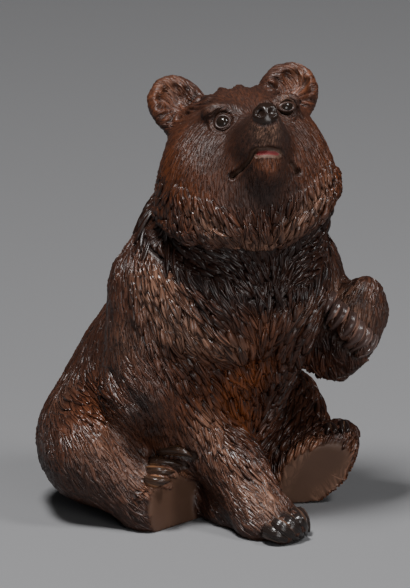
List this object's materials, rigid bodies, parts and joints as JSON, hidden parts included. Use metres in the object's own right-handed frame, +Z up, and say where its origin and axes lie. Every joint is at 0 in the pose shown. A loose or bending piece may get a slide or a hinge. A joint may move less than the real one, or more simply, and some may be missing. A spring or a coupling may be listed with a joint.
{
  "type": "carved bear tobacco jar",
  "caption": "Carved wooden jar in the shape of a seated bear that looks up, one paw planted and the other raised; the head is a lift-off lid over a bored well",
  "frame": {"origin": "the middle of the footprint, on the plane that the jar stands on", "axes": "+Z up, the bear faces -Y, its left side is +X"},
  "size_m": [0.1756, 0.176, 0.2428],
  "materials": {
    "stained_wood": "dark reddish-brown stain under a satin varnish, rubbed lighter on the high places",
    "black_glass": "black, glossy and opaque"
  },
  "bodies": {
    "root": {"bear_body": "stained_wood", "bear_head_lid": "stained_wood", "right_glass_eye": "black_glass", "left_glass_eye": "black_glass"}
  },
  "joints": []
}
